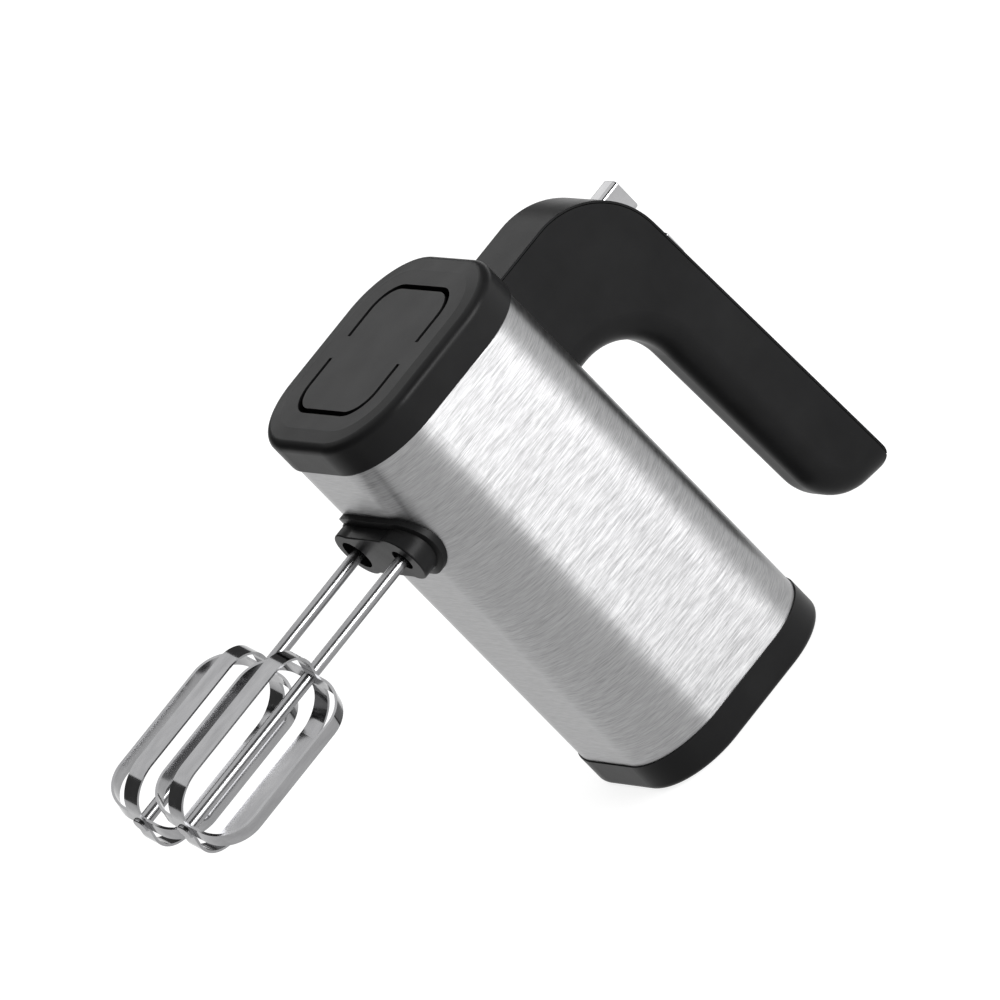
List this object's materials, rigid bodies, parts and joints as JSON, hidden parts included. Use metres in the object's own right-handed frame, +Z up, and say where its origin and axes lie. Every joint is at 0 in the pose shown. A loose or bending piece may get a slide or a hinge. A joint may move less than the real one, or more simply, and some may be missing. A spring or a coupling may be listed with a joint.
{
  "type": "hand mixer",
  "caption": "Upright hand mixer: brushed steel body, black closed-front handle with speed knob and turbo button, twin strip beaters on worm-driven spindles, spring ejector.",
  "frame": {"origin": "middle of the flat heel face on which the mixer stands", "axes": "+Z up the body to the front cap, +X to the handle, -X to the beaters, -Y the side with the smaller beater socket"},
  "size_m": [0.2889, 0.0876, 0.1859],
  "materials": {
    "bearing_steel": "ground",
    "black_plastic": "satin moulded",
    "black_rubber": "matt",
    "bronze": "sintered",
    "brushed_steel": "brushed round the body",
    "carbon": "pressed carbon",
    "cast_alloy": "as cast",
    "chrome_trim": "bright",
    "chromed_strip": "polished",
    "chromed_wire": "polished",
    "circuit_board": "solder resist",
    "copper_bars": "turned",
    "copper_winding": "enamelled wire",
    "gear_nylon": "moulded",
    "grey_plastic": "moulded",
    "lamination_steel": "stacked sheet",
    "spring_steel": "drawn wire",
    "switch_plastic": "moulded"
  },
  "bodies": {
    "casing": {"steel_sleeve": "brushed_steel", "front_cap": "black_plastic", "rear_cap": "black_plastic", "cord_gland": "black_rubber", "inner_housing": "grey_plastic", "handle_base": "black_plastic", "handle_cover": "black_plastic", "beater_boss": "black_plastic", "gearbox_housing": "cast_alloy", "gearbox_cover": "cast_alloy", "lower_bushes": "bronze", "upper_bushes": "bronze", "stator_core": "lamination_steel", "field_coils": "copper_winding", "rear_bearing": "bearing_steel", "main_bearing": "bearing_steel", "front_bush": "bronze", "bearing_bracket": "grey_plastic", "brush_holders": "bronze", "carbon_brushes": "carbon", "brush_springs": "spring_steel", "speed_switch": "switch_plastic", "turbo_switch": "switch_plastic", "control_board": "circuit_board", "interference_capacitor": "switch_plastic", "triac": "switch_plastic", "rear_cap_screws": "bearing_steel", "gearbox_screws": "bearing_steel", "ejector_spring": "spring_steel", "turbo_spring": "spring_steel"},
    "armature": {"motor_shaft": "bearing_steel", "armature_core": "lamination_steel", "armature_windings": "copper_winding", "commutator": "copper_bars", "cooling_fan": "grey_plastic"},
    "ejector": {"ejector": "grey_plastic"},
    "speed_knob": {"speed_knob": "chrome_trim"},
    "turbo_button": {"turbo_button": "chrome_trim"},
    "left_spindle": {"left_spindle": "bearing_steel", "left_drive_gear": "gear_nylon"},
    "left_beater": {"left_beater_shaft": "chromed_wire", "left_beater_outer_loop": "chromed_strip", "left_beater_inner_loop": "chromed_strip"},
    "right_spindle": {"right_spindle": "bearing_steel", "right_drive_gear": "gear_nylon"},
    "right_beater": {"right_beater_shaft": "chromed_wire", "right_beater_outer_loop": "chromed_strip", "right_beater_inner_loop": "chromed_strip"}
  },
  "joints": [
    {"name": "motor_spin", "type": "hinge", "parent": "casing", "child": "armature", "pos_m": [0, 0, 0.079], "axis": [0, 0, 1], "continuous": true},
    {"name": "eject_push", "type": "slide", "parent": "casing", "child": "ejector", "axis": [-1, 0, 0], "range_m": [0, 0.0065], "stiffness_N_per_m": 400, "springref_m": -0.004, "deforming": ["ejector_spring"]},
    {"name": "speed_slide", "type": "slide", "parent": "ejector", "child": "speed_knob", "axis": [0, 1, 0], "range_m": [-0.005, 0.005]},
    {"name": "turbo_press", "type": "slide", "parent": "casing", "child": "turbo_button", "axis": [-1, 0, 0], "range_m": [0, 0.0018], "stiffness_N_per_m": 500, "springref_m": -0.002, "deforming": ["turbo_spring"]},
    {"name": "left_spindle_spin", "type": "hinge", "parent": "casing", "child": "left_spindle", "pos_m": [0, 0.01715, 0.1338], "axis": [1, 0, 0], "continuous": true},
    {"name": "left_beater_eject", "type": "slide", "parent": "left_spindle", "child": "left_beater", "axis": [-1, 0, 0], "range_m": [0, 0.0065]},
    {"name": "right_spindle_spin", "type": "hinge", "parent": "casing", "child": "right_spindle", "pos_m": [0, -0.01715, 0.1338], "axis": [1, 0, 0], "continuous": true},
    {"name": "right_beater_eject", "type": "slide", "parent": "right_spindle", "child": "right_beater", "axis": [-1, 0, 0], "range_m": [0, 0.0065]}
  ],
  "couplings": [
    {"joint": "left_spindle_spin", "follows": "motor_spin", "ratio": 0.074074},
    {"joint": "left_beater_eject", "follows": "eject_push", "ratio": 1},
    {"joint": "right_spindle_spin", "follows": "motor_spin", "ratio": -0.074074},
    {"joint": "right_beater_eject", "follows": "eject_push", "ratio": 1}
  ]
}
